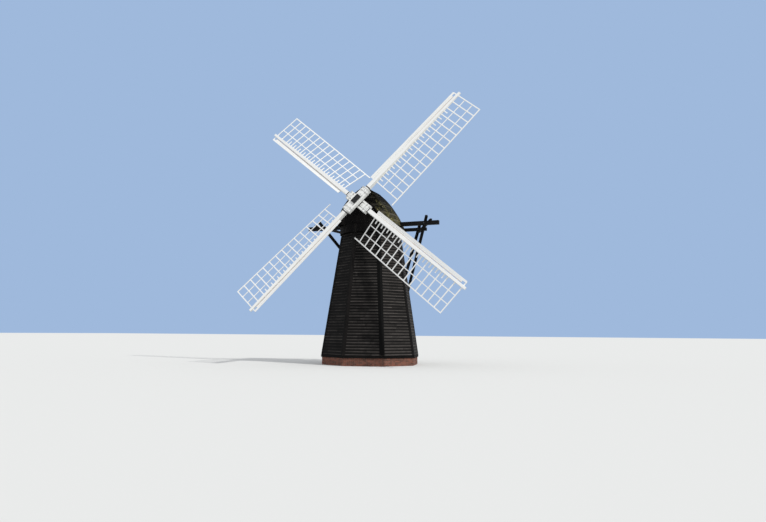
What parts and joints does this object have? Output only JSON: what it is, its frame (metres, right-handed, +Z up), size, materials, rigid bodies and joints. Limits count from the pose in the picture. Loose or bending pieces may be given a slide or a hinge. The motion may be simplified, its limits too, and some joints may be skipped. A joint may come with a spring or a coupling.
{
  "type": "smock windmill",
  "caption": "Octagonal tarred timber smock mill with a boat-shaped turning cap, braced tailpole and winch, and white lattice common sails.",
  "frame": {"origin": "on the tower's vertical axis, at ground level, on the underside of the ground floor", "axes": "+Z up along the tower's axis; at rest the sails and the cap's front face -Y; +X is to the right of a person who faces the sails"},
  "size_m": [13.9666, 10.8715, 16.2172],
  "materials": {
    "tarred_boards": "black tarred weatherboards, weathered at the edges",
    "cap_boards": "black tarred vertical boards",
    "roof_boards": "tarred boards with moss and lichen",
    "tarred_timber": "black tarred heavy timber",
    "door_boards": "tarred ledged boards",
    "oak_frame": "bare sawn oak",
    "white_timber": "weathered white paint",
    "black_iron": "black painted casting",
    "winch_iron": "rusty iron",
    "brick": "red stock brick in lime mortar",
    "floor_brick": "worn floor bricks"
  },
  "bodies": {
    "tower": {"wall_1": "tarred_boards", "wall_2": "tarred_boards", "wall_3": "tarred_boards", "wall_4": "tarred_boards", "wall_5": "tarred_boards", "wall_6": "tarred_boards", "wall_7": "tarred_boards", "wall_8": "tarred_boards", "ground_floor": "floor_brick", "brick_base": "brick", "sill": "oak_frame", "corner_posts": "oak_frame", "corner_boards": "tarred_boards", "curb": "oak_frame", "door_case": "tarred_timber", "door": "door_boards"},
    "cap": {"sheers": "oak_frame", "long_beam": "tarred_timber", "short_beam": "tarred_timber", "tailpole": "tarred_timber", "winch_cheeks": "tarred_timber", "winch_drum": "winch_iron", "long_braces": "tarred_timber", "short_braces": "tarred_timber", "beam_ties": "tarred_timber", "cap_roof": "roof_boards", "cap_front": "cap_boards", "cap_tail": "cap_boards", "cap_apron": "cap_boards", "petticoat": "cap_boards", "weather_beam": "oak_frame", "weather_posts": "oak_frame", "tail_beam": "oak_frame"},
    "sails": {"windshaft": "oak_frame", "canister": "black_iron", "front_stock": "white_timber", "back_stock": "white_timber", "stock_clamps": "white_timber", "sail_lattice_1": "white_timber", "sail_lattice_2": "white_timber", "sail_lattice_3": "white_timber", "sail_lattice_4": "white_timber", "leading_board_1": "white_timber", "leading_board_2": "white_timber", "leading_board_3": "white_timber", "leading_board_4": "white_timber"}
  },
  "joints": [
    {"name": "cap_turn", "type": "hinge", "parent": "tower", "child": "cap", "pos_m": [0, 0, 8], "axis": [0, 0, 1], "continuous": true},
    {"name": "sail_turn", "type": "hinge", "parent": "cap", "child": "sails", "pos_m": [0, -2.3, 9.6003], "axis": [0, -0.9455, 0.3256], "continuous": true}
  ]
}
